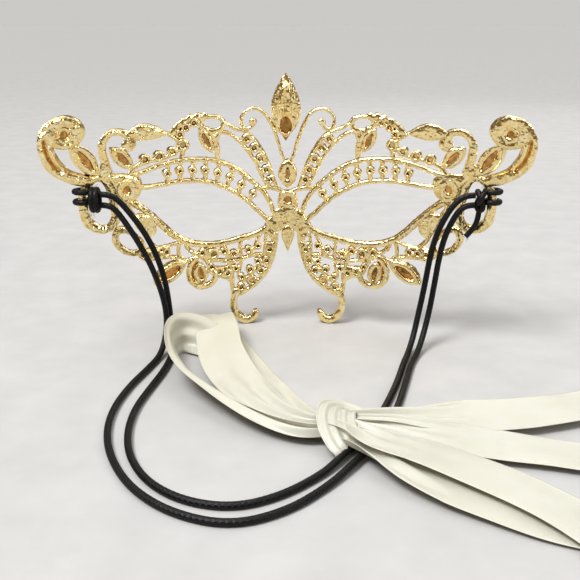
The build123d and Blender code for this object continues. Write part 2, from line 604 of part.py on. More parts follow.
# ---------------------------------------------------------------- free elastic
ARC_SHARE = 0.45         # part of the shorter run that an arc may take
OUTER_ROUTE = [
    (-75.7, STRAP_Y, 14.0), (-72.2, STRAP_Y, 14.0), (-69.0, -28.2, 11.4), (-65.0, -28.5, 5.4),
    (-60.0, -28.9, -3.2), (-55.4, -29.2, -13.4), (-51.8, -29.6, -25.0), (-50.6, -30.4, -34.4),
    (-51.2, -34.8, -42.0), (-52.3, -43.2, CORD_Z), (-55.2, -56.0, CORD_Z), (-59.6, -73.0, CORD_Z),
    (-61.8, -92.0, CORD_Z), (-60.0, -110.0, CORD_Z), (-54.4, -127.0, CORD_Z), (-45.0, -143.0, CORD_Z),
    (-31.5, -155.0, CORD_Z), (-15.0, -160.5, CORD_Z), (0.5, -153.5, CORD_Z), (13.0, -140.0, CORD_Z),
    (20.2, -130.0, CORD_Z + LIFT), (26.8, -119.2, CORD_Z + LIFT), (33.8, -105.5, CORD_Z),
    (40.6, -87.5, CORD_Z), (46.0, -68.5, CORD_Z),
    (50.2, -51.0, CORD_Z), (53.2, -41.5, CORD_Z), (56.6, -33.6, -41.2), (59.4, -29.6, -31.6),
    (61.2, -28.4, -19.5), (62.6, -28.2, -7.5), (64.2, -28.2, 0.4), (66.6, -28.1, 6.6),
    (69.2, -28.1, 11.4), (72.4, STRAP_Y, 14.0), (75.7, STRAP_Y, 14.0)]
INNER_ROUTE = [
    (-75.7, STRAP_Y, 18.4), (-71.8, STRAP_Y, 18.4), (-68.0, -28.0, 15.8), (-63.6, -27.8, 10.2),
    (-58.6, -27.4, 2.6), (-54.2, -26.7, -7.4), (-51.4, -26.0, -18.4), (-50.2, -25.6, -29.5),
    (-49.4, -27.8, -38.5), (-48.4, -34.4, -44.6), (-47.6, -44.0, CORD_Z), (-48.6, -58.0, CORD_Z),
    (-51.4, -74.0, CORD_Z), (-54.0, -91.0, CORD_Z), (-53.4, -108.0, CORD_Z), (-49.6, -124.0, CORD_Z),
    (-41.6, -138.6, CORD_Z), (-29.5, -148.6, CORD_Z), (-15.0, -152.0, CORD_Z), (-1.5, -146.0, CORD_Z),
    (10.5, -134.5, CORD_Z), (16.4, -126.8, CORD_Z + LIFT), (23.2, -115.8, CORD_Z + LIFT),
    (29.8, -102.4, CORD_Z), (36.0, -86.0, CORD_Z),
    (42.0, -67.5, CORD_Z), (46.6, -50.0, CORD_Z), (49.6, -40.8, CORD_Z), (52.6, -33.6, -41.2),
    (55.0, -30.0, -31.5), (57.2, -28.6, -19.5), (58.8, -28.2, -7.5), (60.8, -28.2, 1.6),
    (63.8, -28.2, 8.6), (67.2, -28.1, 14.2), (71.4, STRAP_Y, 18.0), (75.7, STRAP_Y, 18.0)]


def arc_radii(route):
    """Largest arc radius that the two runs at each corner of a route leave room for."""
    points = [Vector(*place) for place in route]
    radii = []
    for before, corner, after in zip(points, points[1:], points[2:]):
        run = min((corner - before).length, (after - corner).length)
        turn = (corner - before).get_angle(after - corner)
        radii.append(ARC_SHARE * run / math.tan(math.radians(turn / 2)))
    return radii


for name, route in (("elastic_outer", OUTER_ROUTE), ("elastic_inner", INNER_ROUTE)):
    radii = arc_radii(route)
    with BuildPart() as elastic:
        with BuildLine() as path:
            FilletPolyline(*route, radius=radii)
        with BuildSketch(Plane(path.line @ 0, z_dir=path.line % 0)):
            Circle(CORD / 2)
        sweep(path=path.line)
    length = sum(edge.length for edge in path.edges())
    filled = elastic.part.volume / (math.pi * CORD**2 / 4 * length)
    print(name, "radii", [round(radius, 1) for radius in radii])
    print(name, "length", round(length, 1), "volume over section x length", round(filled, 4))
    save(elastic, name)

# ---------------------------------------------------------------- satin ribbon, tied round both strands
KNOT_TOP = TABLE_Z + 9.0
KEEPER_THICK = 0.7
with BuildPart() as ribbon_knot:
    with BuildSketch(Plane.XY.offset(TABLE_Z + 0.2)):
        with Locations(Location((15.5, -109, 0), (0, 0, -12))):
            RectangleRounded(11, 20, 4)
    extrude(amount=KNOT_TOP - TABLE_Z - 0.2, taper=12)
    with BuildSketch(Plane((23.6, -122, TABLE_Z), x_dir=(0.84, -0.54, 0), z_dir=(-0.54, -0.84, 0))):
        with Locations((-1.5, CORD - 0.1)):
            Rectangle(16, 2 * CORD - 0.2)
            Rectangle(16 - 2 * KEEPER_THICK, 2 * CORD - 0.2 - 2 * KEEPER_THICK, mode=Mode.SUBTRACT)
    extrude(amount=3, both=True)
save(ribbon_knot, "ribbon_knot")

with BuildPart() as ribbon_loops:
    with BuildSketch(Plane.XY.offset(TABLE_Z + 0.2)):
        outline((11, -100), (9, -105), (-7, -92), (-21, -74), (-32, -55), (-37, -41), (-38, -28),
                (-34, -17),
                (-24, -12), (-17, -27), (-9, -47), (1, -69), (8, -88))
    extrude(amount=6)
    with BuildSketch(Plane.XY.offset(RIBBON_Z)):
        wire((9, -111), (-14, -98), (-29, -85.6), (-40, -70), (-46, -54), (-46, -44), (-42.6, -37.4),
             width=7)
    extrude(amount=4)
save(ribbon_loops, "ribbon_loops")

TAIL_STEP = 0.9
TAIL_WIDTH = 0.85 * RIBBON
TAILS = (
    ((22, -115), (38, -131), (53, -146), (70, -157), (92, -167)),
    ((22, -111), (42, -121), (62, -134), (81, -149), (101, -162)),
    ((22, -107), (45, -109), (70, -115), (95, -122), (121, -126)),
    ((21, -103), (45, -101), (68, -98), (93, -92), (123, -83)))
with BuildPart() as ribbon_tails:
    for layer, centre_line in enumerate(TAILS):
        with BuildLine() as path:
            Spline(*centre_line)
        with BuildSketch(Plane.XY.offset(RIBBON_Z + layer * TAIL_STEP)):
            trace(path.line, line_width=TAIL_WIDTH)
        extrude(amount=TAIL_STEP - 0.1)
save(ribbon_tails, "ribbon_tails")
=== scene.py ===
import json
import math
import random
import bpy
import numpy as np
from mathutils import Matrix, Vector, noise
from mathutils.kdtree import KDTree


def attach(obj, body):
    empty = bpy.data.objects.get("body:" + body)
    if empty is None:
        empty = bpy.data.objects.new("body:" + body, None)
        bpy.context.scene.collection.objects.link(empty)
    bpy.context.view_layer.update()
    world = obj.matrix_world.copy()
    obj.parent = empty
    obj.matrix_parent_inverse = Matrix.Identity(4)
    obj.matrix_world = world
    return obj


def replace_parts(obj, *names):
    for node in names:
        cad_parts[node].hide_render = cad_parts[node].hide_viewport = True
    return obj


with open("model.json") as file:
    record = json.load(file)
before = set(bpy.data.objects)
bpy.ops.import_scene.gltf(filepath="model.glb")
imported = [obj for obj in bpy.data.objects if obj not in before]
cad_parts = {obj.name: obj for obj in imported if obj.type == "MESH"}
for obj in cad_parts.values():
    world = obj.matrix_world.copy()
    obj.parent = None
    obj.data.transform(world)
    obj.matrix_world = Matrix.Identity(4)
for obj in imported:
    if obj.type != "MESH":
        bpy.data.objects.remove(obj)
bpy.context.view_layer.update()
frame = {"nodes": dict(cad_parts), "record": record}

SCENE = bpy.context.scene
NODES = frame["nodes"]
MM = 0.001               # one millimetre
TABLE = -0.047           # height of the table top
FACE_RADIUS = 0.1328125  # radius of the wearer's face of the mask
CORD = 0.0025            # diameter of the elastic
RIBBON = 0.018           # width of the satin ribbon
CAMERA_PLACE = (0.001, -0.348, 0.084)
CAMERA_DIP = 18.35       # how far the camera looks down, in degrees

# ---------------------------------------------------------------- camera
camera_data = bpy.data.cameras.new("camera")
camera_data.lens = 50
camera_data.sensor_width = 36
camera = bpy.data.objects.new("camera", camera_data)
camera.location = CAMERA_PLACE
camera.rotation_euler = (math.radians(90 - CAMERA_DIP), 0, 0)
SCENE.collection.objects.link(camera)
SCENE.camera = camera

# ---------------------------------------------------------------- routes of the elastic
OUTER_ROUTE = [
    (-0.0757, -0.028, 0.014), (-0.0722, -0.028, 0.014), (-0.069, -0.0282, 0.0114),
    (-0.065, -0.0285, 0.0054), (-0.06, -0.0289, -0.0032), (-0.0554, -0.0292, -0.0134),
    (-0.0518, -0.0296, -0.025), (-0.0506, -0.0304, -0.0344), (-0.0512, -0.0348, -0.042),
    (-0.0523, -0.0432, -0.0457), (-0.0552, -0.056, -0.0457), (-0.0596, -0.073, -0.0457),
    (-0.0618, -0.092, -0.0457), (-0.06, -0.11, -0.0457), (-0.0544, -0.127, -0.0457),
    (-0.045, -0.143, -0.0457), (-0.0315, -0.155, -0.0457), (-0.015, -0.1605, -0.0457),
    (0.0005, -0.1535, -0.0457), (0.013, -0.14, -0.0457), (0.0202, -0.13, -0.0447),
    (0.0268, -0.1192, -0.0447), (0.0338, -0.1055, -0.0457), (0.0398, -0.0875, -0.0457),
    (0.0450, -0.0685, -0.0457), (0.0495, -0.051, -0.0457), (0.0532, -0.0415, -0.0457),
    (0.0566, -0.0336, -0.0412), (0.0594, -0.0296, -0.0316), (0.0612, -0.0284, -0.0195),
    (0.0626, -0.0282, -0.0075), (0.0642, -0.0282, 0.0004), (0.0666, -0.0281, 0.0066),
    (0.0692, -0.0281, 0.0114), (0.0724, -0.028, 0.014), (0.0757, -0.028, 0.014),
]
INNER_ROUTE = [
    (-0.0757, -0.028, 0.0184), (-0.0718, -0.028, 0.0184), (-0.068, -0.028, 0.0158),
    (-0.0636, -0.0278, 0.0102), (-0.0586, -0.0274, 0.0026), (-0.0542, -0.0267, -0.0074),
    (-0.0514, -0.026, -0.0184), (-0.0502, -0.0256, -0.0295), (-0.0494, -0.0278, -0.0385),
    (-0.0484, -0.0344, -0.0446), (-0.0476, -0.044, -0.0457), (-0.0486, -0.058, -0.0457),
    (-0.0514, -0.074, -0.0457), (-0.054, -0.091, -0.0457), (-0.0534, -0.108, -0.0457),
    (-0.0496, -0.124, -0.0457), (-0.0416, -0.1386, -0.0457), (-0.0295, -0.1486, -0.0457),
    (-0.015, -0.152, -0.0457), (-0.0015, -0.146, -0.0457), (0.0105, -0.1345, -0.0457),
    (0.0164, -0.1268, -0.0447), (0.0232, -0.1158, -0.0447), (0.0298, -0.1024, -0.0457),
    (0.036, -0.086, -0.0457), (0.042, -0.0675, -0.0457), (0.0466, -0.05, -0.0457),
    (0.0496, -0.0408, -0.0457), (0.0526, -0.0336, -0.0412), (0.055, -0.03, -0.0315),
    (0.0572, -0.0286, -0.0195), (0.0588, -0.0282, -0.0075), (0.0608, -0.0282, 0.0016),
    (0.0638, -0.0282, 0.0086), (0.0672, -0.0281, 0.0142), (0.0714, -0.028, 0.018),
    (0.0757, -0.028, 0.018),
]

# ---------------------------------------------------------------- shader helpers
class Shader:
    """A material's node tree, with short ways to add and join nodes."""

    def __init__(self, name):
        self.material = bpy.data.materials.new(name)
        self.material.use_nodes = True
        self.tree = self.material.node_tree
        self.surface = self.tree.nodes["Principled BSDF"]
        self.place = self.add("ShaderNodeTexCoord").outputs["Object"]

    def add(self, kind, **settings):
        node = self.tree.nodes.new(kind)
        for key, value in settings.items():
            setattr(node, key, value)
        return node

    def join(self, source, node, socket):
        self.tree.links.new(source, node.inputs[socket])

    def set(self, **values):
        for name, value in values.items():
            self.surface.inputs[name.replace("_", " ")].default_value = value

    def noise(self, scale, detail=3.0, rough=0.55, place=None):
        node = self.add("ShaderNodeTexNoise")
        node.inputs["Scale"].default_value = scale
        node.inputs["Detail"].default_value = detail
        node.inputs["Roughness"].default_value = rough
        self.join(place or self.place, node, "Vector")
        return node.outputs["Fac"]

    def ramp(self, source, *stops):
        node = self.add("ShaderNodeValToRGB")
        while len(node.color_ramp.elements) < len(stops):
            node.color_ramp.elements.new(0.5)
        for element, (at, colour) in zip(node.color_ramp.elements, stops):
            element.position = at
            element.color = (*colour, 1) if len(colour) == 3 else colour
        self.join(source, node, "Fac")
        return node.outputs["Color"]

    def grey(self, source, low, high, at_low=0.0, at_high=1.0):
        node = self.add("ShaderNodeMapRange")
        node.inputs["From Min"].default_value = at_low
        node.inputs["From Max"].default_value = at_high
        node.inputs["To Min"].default_value = low
        node.inputs["To Max"].default_value = high
        self.join(source, node, "Value")
        return node.outputs["Result"]

    def mix(self, share, first, second, blend="MIX"):
        node = self.add("ShaderNodeMix", data_type="RGBA", blend_type=blend)
        for value, socket in ((share, 0), (first, 6), (second, 7)):
            if hasattr(value, "is_linked"):
                self.join(value, node, socket)
            else:
                node.inputs[socket].default_value = value if socket == 0 else (*value, 1)
        return node.outputs[2]

    def bump(self, height, distance, strength=1.0, below=None):
        node = self.add("ShaderNodeBump")
        node.inputs["Distance"].default_value = distance
        node.inputs["Strength"].default_value = strength
        self.join(height, node, "Height")
        if below is not None:
            self.join(below, node, "Normal")
        return node.outputs["Normal"]

    def feed(self, **sources):
        for name, source in sources.items():
            self.join(source, self.surface, name.replace("_", " "))
        return self.material


def gilt(name, shade_spread=0.5):
    """Pale gold plate over a rough casting: bright on the ridges, amber brown painted shade in the hollows,
    where ambient occlusion finds them.
    """
    s = Shader(name)
    hollow = s.add("ShaderNodeAmbientOcclusion", samples=8, only_local=True)
    hollow.inputs["Distance"].default_value = 0.0022
    cloud = s.noise(420, 3)
    grain = s.noise(1400, 2)
    gold = s.ramp(cloud, (0.30, (0.90, 0.66, 0.25)), (0.52, (0.95, 0.77, 0.38)),
                  (0.74, (0.99, 0.88, 0.56)))
    # Painted shade: amber brown darkening mixed into the gold where ambient occlusion finds hollows and
    # creases.
    hollow_shade = s.ramp(hollow.outputs["AO"], (0.15, (1, 1, 1)), (0.15 + shade_spread, (0, 0, 0)))
    colour = s.mix(hollow_shade, gold, (0.47, 0.20, 0.035))
    rough = s.grey(grain, 0.04, 0.20, 0.3, 0.75)
    low = s.bump(cloud, 0.0006, 0.4)
    normal = s.bump(grain, 0.00018, 0.35, low)
    s.set(Metallic=1.0)
    return s.feed(Base_Color=colour, Roughness=rough, Normal=normal)


def crystal(name, tint, foil):
    """Foil-backed cut glass: clear on the mask's front, painted foil on the wearer's side."""
    s = Shader(name)
    facing = s.add("ShaderNodeSeparateXYZ")
    s.join(s.add("ShaderNodeTexCoord").outputs["Normal"], facing, "Vector")
    back = s.grey(facing.outputs["Y"], 1.0, 0.0, -0.05, 0.05)
    patch = s.noise(420, 2)
    paint = s.ramp(patch, (0.35, tuple(0.45 * c for c in foil)), (0.65, foil))
    colour = s.mix(back, tint, paint)
    smear = s.noise(900, 2)
    s.set(IOR=1.56)
    s.join(s.grey(back, 0.75, 0.0), s.surface, "Transmission Weight")
    s.join(back, s.surface, "Metallic")
    rough = s.grey(smear, 0.03, 0.16, 0.4, 0.9)
    return s.feed(Base_Color=colour, Roughness=rough, Normal=s.bump(patch, 0.0003, 0.3))


def elastic_yarn(name):
    """Black polyester yarn braided round a rubber core."""
    s = Shader(name)
    fibre = s.noise(9000, 2)
    lint = s.noise(700, 3)
    colour = s.ramp(lint, (0.35, (0.002, 0.002, 0.0024)), (0.8, (0.006, 0.006, 0.006)))
    s.set(Specular_IOR_Level=0.2)
    rough = s.grey(fibre, 0.26, 0.46)
    return s.feed(Base_Color=colour, Roughness=rough, Normal=s.bump(fibre, 0.00008, 0.6))


def satin(name):
    """Cream satin: fine warp along the ribbon and faint ribs across it."""
    s = Shader(name)
    uv = s.add("ShaderNodeTexCoord").outputs["UV"]
    warp_place = s.add("ShaderNodeMapping")
    warp_place.inputs["Scale"].default_value = (900, 24, 1)
    s.join(uv, warp_place, "Vector")
    warp = s.noise(1.0, 2, 0.5, warp_place.outputs["Vector"])
    rib = s.add("ShaderNodeTexWave", wave_type="BANDS", bands_direction="Y")
    rib.inputs["Scale"].default_value = 520
    rib.inputs["Distortion"].default_value = 0.6
    s.join(uv, rib, "Vector")
    stain = s.noise(60, 3)
    colour = s.ramp(stain, (0.3, (0.485, 0.472, 0.375)), (0.7, (0.525, 0.512, 0.42)))
    normal = s.bump(rib.outputs["Fac"], 0.00003, 0.25)
    normal = s.bump(warp, 0.00005, 0.45, normal)
    s.set(Sheen_Weight=0.25, Sheen_Roughness=0.35, Specular_IOR_Level=0.5, Anisotropic=0.5)
    s.set(Subsurface_Weight=0.3, Subsurface_Scale=0.003)
    s.surface.inputs["Subsurface Radius"].default_value = (1.0, 0.9, 0.6)
    return s.feed(Base_Color=colour, Roughness=s.grey(warp, 0.30, 0.46), Normal=normal)


def table_top(name):
    """Pale matt table top, faintly clouded."""
    s = Shader(name)
    grain = s.noise(60, 5)
    colour = s.ramp(grain, (0.3, (0.385, 0.38, 0.375)), (0.7, (0.425, 0.418, 0.412)))
    s.set(Roughness=0.7, Specular_IOR_Level=0.25)
    return s.feed(Base_Color=colour)


GILT = gilt("gilt_cast")
CLEAR = crystal("clear_crystal", (0.96, 0.96, 0.97), (0.50, 0.25, 0.07))
AMBER = crystal("amber_crystal", (0.95, 0.62, 0.30), (0.66, 0.33, 0.10))
PALE = crystal("small_crystal", (0.96, 0.95, 0.92), (0.86, 0.62, 0.28))
YARN = elastic_yarn("black_elastic")
SATIN = satin("cream_satin")
TABLE_MATERIAL = table_top("pale_table")


# ---------------------------------------------------------------- mesh helpers
def add_object(name, mesh, material, body):
    """Puts a finished mesh into the scene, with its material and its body."""
    obj = bpy.data.objects.new(name, mesh)
    SCENE.collection.objects.link(obj)
    obj.data.materials.clear()
    obj.data.materials.append(material)
    for polygon in mesh.polygons:
        polygon.use_smooth = True
    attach(obj, body)
    return obj


def cloud_texture(name, scale, depth=2):
    """A soft noise for displacement, its grain size in metres."""
    texture = bpy.data.textures.new(name, "CLOUDS")
    texture.noise_scale = scale
    texture.noise_depth = depth
    return texture


LUMPS = cloud_texture("lumps", 0.0030)
PITS = cloud_texture("pits", 0.0007)


def baked(obj):
    """The object's mesh with its modifiers applied."""
    bpy.context.view_layer.update()
    graph = bpy.context.evaluated_depsgraph_get()
    return bpy.data.meshes.new_from_object(obj.evaluated_get(graph))


def points_of(mesh):
    """A mesh's vertices as an array."""
    flat = np.empty(3 * len(mesh.vertices))
    mesh.vertices.foreach_get("co", flat)
    return flat.reshape(-1, 3)


def normals_of(mesh):
    """A mesh's vertex normals as an array."""
    flat = np.empty(3 * len(mesh.vertices))
    mesh.vertices.foreach_get("normal", flat)
    return flat.reshape(-1, 3)


def move_points(mesh, points):
    """Gives a mesh new vertex places."""
    mesh.vertices.foreach_set("co", points.ravel())
    mesh.update()


def outward(points):
    """The direction out of the mask's front at each point; the points are in millimetres."""
    away = points + (0, FACE_RADIUS / MM, 0)
    away[:, 2] = 0
    return away / np.linalg.norm(away, axis=1)[:, None]


EDGE_FACING = 0.55       # a point that faces the front or back less than this belongs to an edge


def crown(points, normals, rise, widest=2.0):
    """The moves that round flat fronts and backs: none at an edge, most from widest mm inward."""
    away = outward(points)
    facing = (normals * away).sum(axis=1)
    edge = np.flatnonzero(np.abs(facing) < EDGE_FACING)
    tree = KDTree(len(edge))
    for index in edge:
        tree.insert(points[index], index)
    tree.balance()
    reach = np.zeros(len(points))
    for index in np.flatnonzero(np.abs(facing) >= EDGE_FACING):
        reach[index] = tree.find(points[index])[2]
    share = np.clip(reach / widest, 0, 1)
    return away * (np.sign(facing) * rise * widest * share * (1 - share / 2))[:, None]


def cast(node, voxel=0.24, soften=8, swell=-0.02, lumps=0.55, pits=0.12, rise=0.5, carve=None):
    """Replaces a gilt node by a rounded, uneven casting of the same shape; sizes in millimetres."""
    source = bpy.data.objects.new("source", NODES[node].data.copy())
    SCENE.collection.objects.link(source)
    remesh = source.modifiers.new("remesh", "REMESH")
    remesh.mode = "VOXEL"
    remesh.voxel_size = voxel * MM
    smooth = source.modifiers.new("smooth", "SMOOTH")
    smooth.factor = 0.5
    smooth.iterations = soften
    rounded = baked(source)
    points, normals = points_of(rounded) / MM, normals_of(rounded)
    points = points + crown(points, normals, rise)
    if carve:
        points = points + normals * carve(points, normals)[:, None]
    move_points(rounded, points * MM)
    source.modifiers.clear()
    source.data = rounded
    smooth = source.modifiers.new("smooth", "SMOOTH")
    smooth.factor = 0.5
    smooth.iterations = 3
    for texture, strength in ((LUMPS, lumps), (PITS, pits)):
        displace = source.modifiers.new(texture.name, "DISPLACE")
        displace.texture = texture
        displace.texture_coords = "LOCAL"
        displace.strength = strength * MM
        displace.mid_level = 0.5 - swell / (lumps + pits)
    mesh = baked(source)
    bpy.data.objects.remove(source)
    mesh.name = node + "_cast"
    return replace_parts(add_object(node + "_cast", mesh, GILT, "mask"), node)


RIDGE_DEPTH = 0.22       # how deep the ridges and rays below are cut, in millimetres
RIDGE_PITCH = 1.5        # from one ridge of the crest to the next, in millimetres
CREST_MIDDLE = -0.8      # where the crest's middle groove runs, in millimetres
RAY_CENTRE = -8          # height that the rays of the nose piece spread from, in millimetres
RAY_COUNT = 15           # rays per radian


def crest_ridges(points, normals):
    """Upright ridges on the wearer's side of the crest, deepest in the middle groove."""
    side = points[:, 0] - CREST_MIDDLE
    back = np.clip(-normals[:, 1], 0, 1)
    ridge = RIDGE_DEPTH * np.sin(side * 2 * math.pi / RIDGE_PITCH + 0.12 * points[:, 2])
    groove = -0.7 * np.exp(-(side / 0.6) ** 2)
    return back * (ridge + groove)


def nose_rays(points, normals):
    """Rays that spread from the middle of the nose piece on the wearer's side."""
    turn = np.arctan2(points[:, 0], points[:, 2] - RAY_CENTRE)
    back = np.clip(-normals[:, 1], 0, 1)
    return back * RIDGE_DEPTH * np.sin(turn * RAY_COUNT)


CARVINGS = {"crest_cup": crest_ridges, "nose_bridge": nose_rays}
SUBPARTS = frame["record"]["subparts"]
GILT_NODES = [part["node"] for part in SUBPARTS if part["material_slot"] == "gilt_metal"]
POST_SWELL = 0.22        # what the smoothing takes off the lids' thin posts, in millimetres
for node in GILT_NODES:
    if node.startswith("lid_posts"):
        cast(node, soften=5, swell=POST_SWELL)
    else:
        cast(node, carve=CARVINGS.get(node))

CRYSTALS = {"crest_crystal": CLEAR, "round_crystals": AMBER, "leaf_crystals": AMBER,
            "chaton_crystals": PALE}
for node, material in CRYSTALS.items():
    NODES[node].data.materials.clear()
    NODES[node].data.materials.append(material)


# ---------------------------------------------------------------- cords
def route_line(name, route):
    """Points along the smooth spline of a cord's route."""
    curve = bpy.data.curves.new(name, "CURVE")
    curve.dimensions = "3D"
    curve.resolution_u = 24
    spline = curve.splines.new("NURBS")
    spline.points.add(len(route) - 1)
    for point, place in zip(spline.points, route):
        point.co = (*place, 1)
    spline.order_u = 3
    spline.use_endpoint_u = True
    holder = bpy.data.objects.new(name, curve)
    SCENE.collection.objects.link(holder)
    mesh = baked(holder)
    bpy.data.objects.remove(holder)
    line = points_of(mesh)
    bpy.data.meshes.remove(mesh)
    return line


def even(line, step):
    """The same line with evenly spaced points, and their distances along it."""
    gaps = np.linalg.norm(np.diff(line, axis=0), axis=1)
    along = np.concatenate(([0], np.cumsum(gaps)))
    count = max(8, int(along[-1] / step))
    at = np.linspace(0, along[-1], count + 1)
    return np.stack([np.interp(at, along, line[:, axis]) for axis in range(3)], axis=1), at


def frames(line, closed=False):
    """A tangent and two sideways directions at each point, turning as little as they can."""
    ahead = np.roll(line, -1, axis=0) - np.roll(line, 1, axis=0)
    if not closed:
        ahead[0] = line[1] - line[0]
        ahead[-1] = line[-1] - line[-2]
    ahead /= np.linalg.norm(ahead, axis=1)[:, None]
    side = np.empty_like(line)
    first = np.cross(ahead[0], (0, 0, 1))
    if np.linalg.norm(first) < 0.2:
        first = np.cross(ahead[0], (0, 1, 0))
    side[0] = first / np.linalg.norm(first)
    for i in range(1, len(line)):
        flat = side[i - 1] - ahead[i] * side[i - 1].dot(ahead[i])
        side[i] = flat / np.linalg.norm(flat)
    return ahead, side, np.cross(ahead, side)


def tube(name, line, radius, sides=48, step=0.25, yarns=8, pitch=1.8, height=0.17, closed=False):
    """Mesh of a braided cord along a line; radius, step, pitch and yarn height in millimetres."""
    line, along = even(line, step * MM)
    if closed:
        line, along = line[:-1], along[:-1]
    _, side, up = frames(line, closed)
    turn = np.linspace(0, 2 * math.pi, sides, endpoint=False)
    right = yarns * turn[None, :] + 2 * math.pi * along[:, None] / (pitch * MM)
    left = yarns * turn[None, :] - 2 * math.pi * along[:, None] / (pitch * MM)
    # Where over holds, the yarns that turn right lie on top of those that turn left.
    over = np.sin(right / 2 + left / 2) * np.cos(right / 2 - left / 2) > 0
    lump = np.where(over, np.abs(np.sin(right / 2)), np.abs(np.sin(left / 2)))
    reach = (radius - height + height * lump) * MM
    ring = (np.cos(turn)[None, :, None] * side[:, None, :]
            + np.sin(turn)[None, :, None] * up[:, None, :])
    points = line[:, None, :] + reach[:, :, None] * ring
    rows = len(line)
    index = np.arange(rows * sides).reshape(rows, sides)
    faces = []
    for row in range(rows if closed else rows - 1):
        here, there = index[row], index[(row + 1) % rows]
        faces += [(int(here[k]), int(here[(k + 1) % sides]), int(there[(k + 1) % sides]), int(there[k]))
                  for k in range(sides)]
    points = points.reshape(-1, 3)
    if not closed:
        for row, tip in ((0, line[0]), (rows - 1, line[-1])):
            points = np.vstack([points, tip])
            centre = len(points) - 1
            ring_index = index[row] if row else index[row][::-1]
            faces += [(int(ring_index[k]), int(ring_index[(k + 1) % sides]), centre) for k in range(sides)]
    mesh = bpy.data.meshes.new(name)
    mesh.from_pydata(points.tolist(), [], faces)
    mesh.update()
    return mesh


STRANDS = (("elastic_outer", OUTER_ROUTE, 0.428), ("elastic_inner", INNER_ROUTE, 0.423))
for name, route, length in STRANDS:
    line = route_line(name + "_route", route)
    strand = add_object(name + "_cord", tube(name, line, CORD / 2 / MM), YARN, "strap")
    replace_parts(strand, name)


def oval(centre, across, upward, radius_a, radius_b, count=120):
    """Points once round an ellipse."""
    turn = np.linspace(0, 2 * math.pi, count)
    return (np.array(centre) + np.outer(np.cos(turn) * radius_a, across)
            + np.outer(np.sin(turn) * radius_b, upward))


def joined(name, meshes, material, body):
    """One object made of several meshes."""
    parts = []
    for mesh in meshes:
        part = bpy.data.objects.new(name + "_part", mesh)
        SCENE.collection.objects.link(part)
        parts.append(part)
    with bpy.context.temp_override(active_object=parts[0], selected_editable_objects=parts,
                                   selected_objects=parts):
        bpy.ops.object.join()
    mesh = parts[0].data
    bpy.data.objects.remove(parts[0])
    mesh.name = name
    return add_object(name, mesh, material, body)


STRAP_X = 0.0778         # the lashings beside the strap rings, from the middle of the mask
STRAP_Y = -0.028
STRAP_Z = 0.0162
BAND_HALF_HEIGHT = 0.0042
BAND_HALF_DEPTH = 0.0036
BAND_SHIFTS = (-0.0007, 0.0009)
BAND_THICK = 1.2         # radius of the elastic in the band, in millimetres
WRAP_X = 0.0827          # the outer bars of the strap rings
WRAP_HEIGHTS = (0.0154, 0.0196)
WRAP_RADIUS = 0.0030
HALF_SHEET = 0.0012      # from the face of the mask to the middle of its metal
WRAP_Y = math.sqrt(FACE_RADIUS**2 - WRAP_X**2) - FACE_RADIUS + HALF_SHEET
TIGHT = 1.15             # radius of the elastic where it is pulled tight, in millimetres
FIBRE_REACH = 0.0011
FIBRE_BEND = 0.0007
FIBRE_THICK = 0.045      # radius of a loose fibre, in millimetres
X_AXIS, Y_AXIS, Z_AXIS = np.eye(3)


def bar_wraps(side):
    """The two bights of elastic round the strap ring's outer bar."""
    return [tube("bight", oval((side * WRAP_X, WRAP_Y, height), X_AXIS, Y_AXIS, WRAP_RADIUS, WRAP_RADIUS),
                 TIGHT, closed=True) for height in WRAP_HEIGHTS]


def fuzz(centre, spread, count, seed):
    """Loose fibres that stand out of a cut or worn elastic."""
    random.seed(seed)
    meshes = []
    for _ in range(count):
        way = Vector((random.gauss(0, 1), random.gauss(0, 1), random.gauss(0, 1))).normalized()
        start = Vector(centre) + way * spread * 0.6
        bend = Vector((random.uniform(-1, 1), random.uniform(-1, 1), random.uniform(-1, 1)))
        bend *= FIBRE_BEND
        reach = random.uniform(0.8, 1.6) * FIBRE_REACH
        line = np.array([start + way * reach * t + bend * t * t for t in (0, 0.25, 0.5, 0.75, 1)])
        meshes.append(tube("fuzz", line, FIBRE_THICK, sides=4, step=0.3, height=0.0))
    return meshes


def lashing_band():
    """The left end of the elastic: a band of two turns round both strands."""
    meshes = []
    for shift in BAND_SHIFTS:
        centre = (-STRAP_X + shift, STRAP_Y, STRAP_Z)
        line = oval(centre, Z_AXIS, Y_AXIS, BAND_HALF_HEIGHT, BAND_HALF_DEPTH)
        meshes.append(tube("band", line, BAND_THICK, closed=True))
    return meshes


def overhand_knot():
    """The right end of the elastic: an overhand knot, drawn as a closed trefoil."""
    turns = np.linspace(0, 2 * math.pi, 240)
    thick, deep, high = 0.0009, 0.0012825, 0.00145
    line = np.stack([STRAP_X + thick * np.sin(3 * turns),
                     STRAP_Y + deep * (np.sin(turns) + 2 * np.sin(2 * turns)),
                     STRAP_Z + high * (np.cos(turns) - 2 * np.cos(2 * turns))], axis=1)
    return tube("knot", line, TIGHT, closed=True)


hitch_pieces = lashing_band() + bar_wraps(-1)
hitch_pieces += fuzz((-0.0778, -0.031, 0.0215), 0.0015, 14, seed=3)
hitch_pieces += fuzz((-0.0785, -0.030, 0.011), 0.0012, 10, seed=4)
hitch = joined("hitch_left_cord", hitch_pieces, YARN, "mask")
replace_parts(hitch, "hitch_left")

CUT_END = [(0.0782, -0.0264, 0.0150), (0.0780, -0.0264, 0.0084), (0.0762, -0.0262, 0.0036),
           (0.0734, -0.0259, 0.0004)]
knot_pieces = [overhand_knot(), tube("tail", route_line("tail_route", CUT_END), TIGHT)] + bar_wraps(1)
knot_pieces += fuzz((0.0736, -0.0259, 0.0006), 0.0006, 26, seed=5)
knot_pieces += fuzz((0.0785, -0.031, 0.0212), 0.0012, 10, seed=6)
knot = joined("knot_right_cord", knot_pieces, YARN, "mask")
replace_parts(knot, "knot_right")


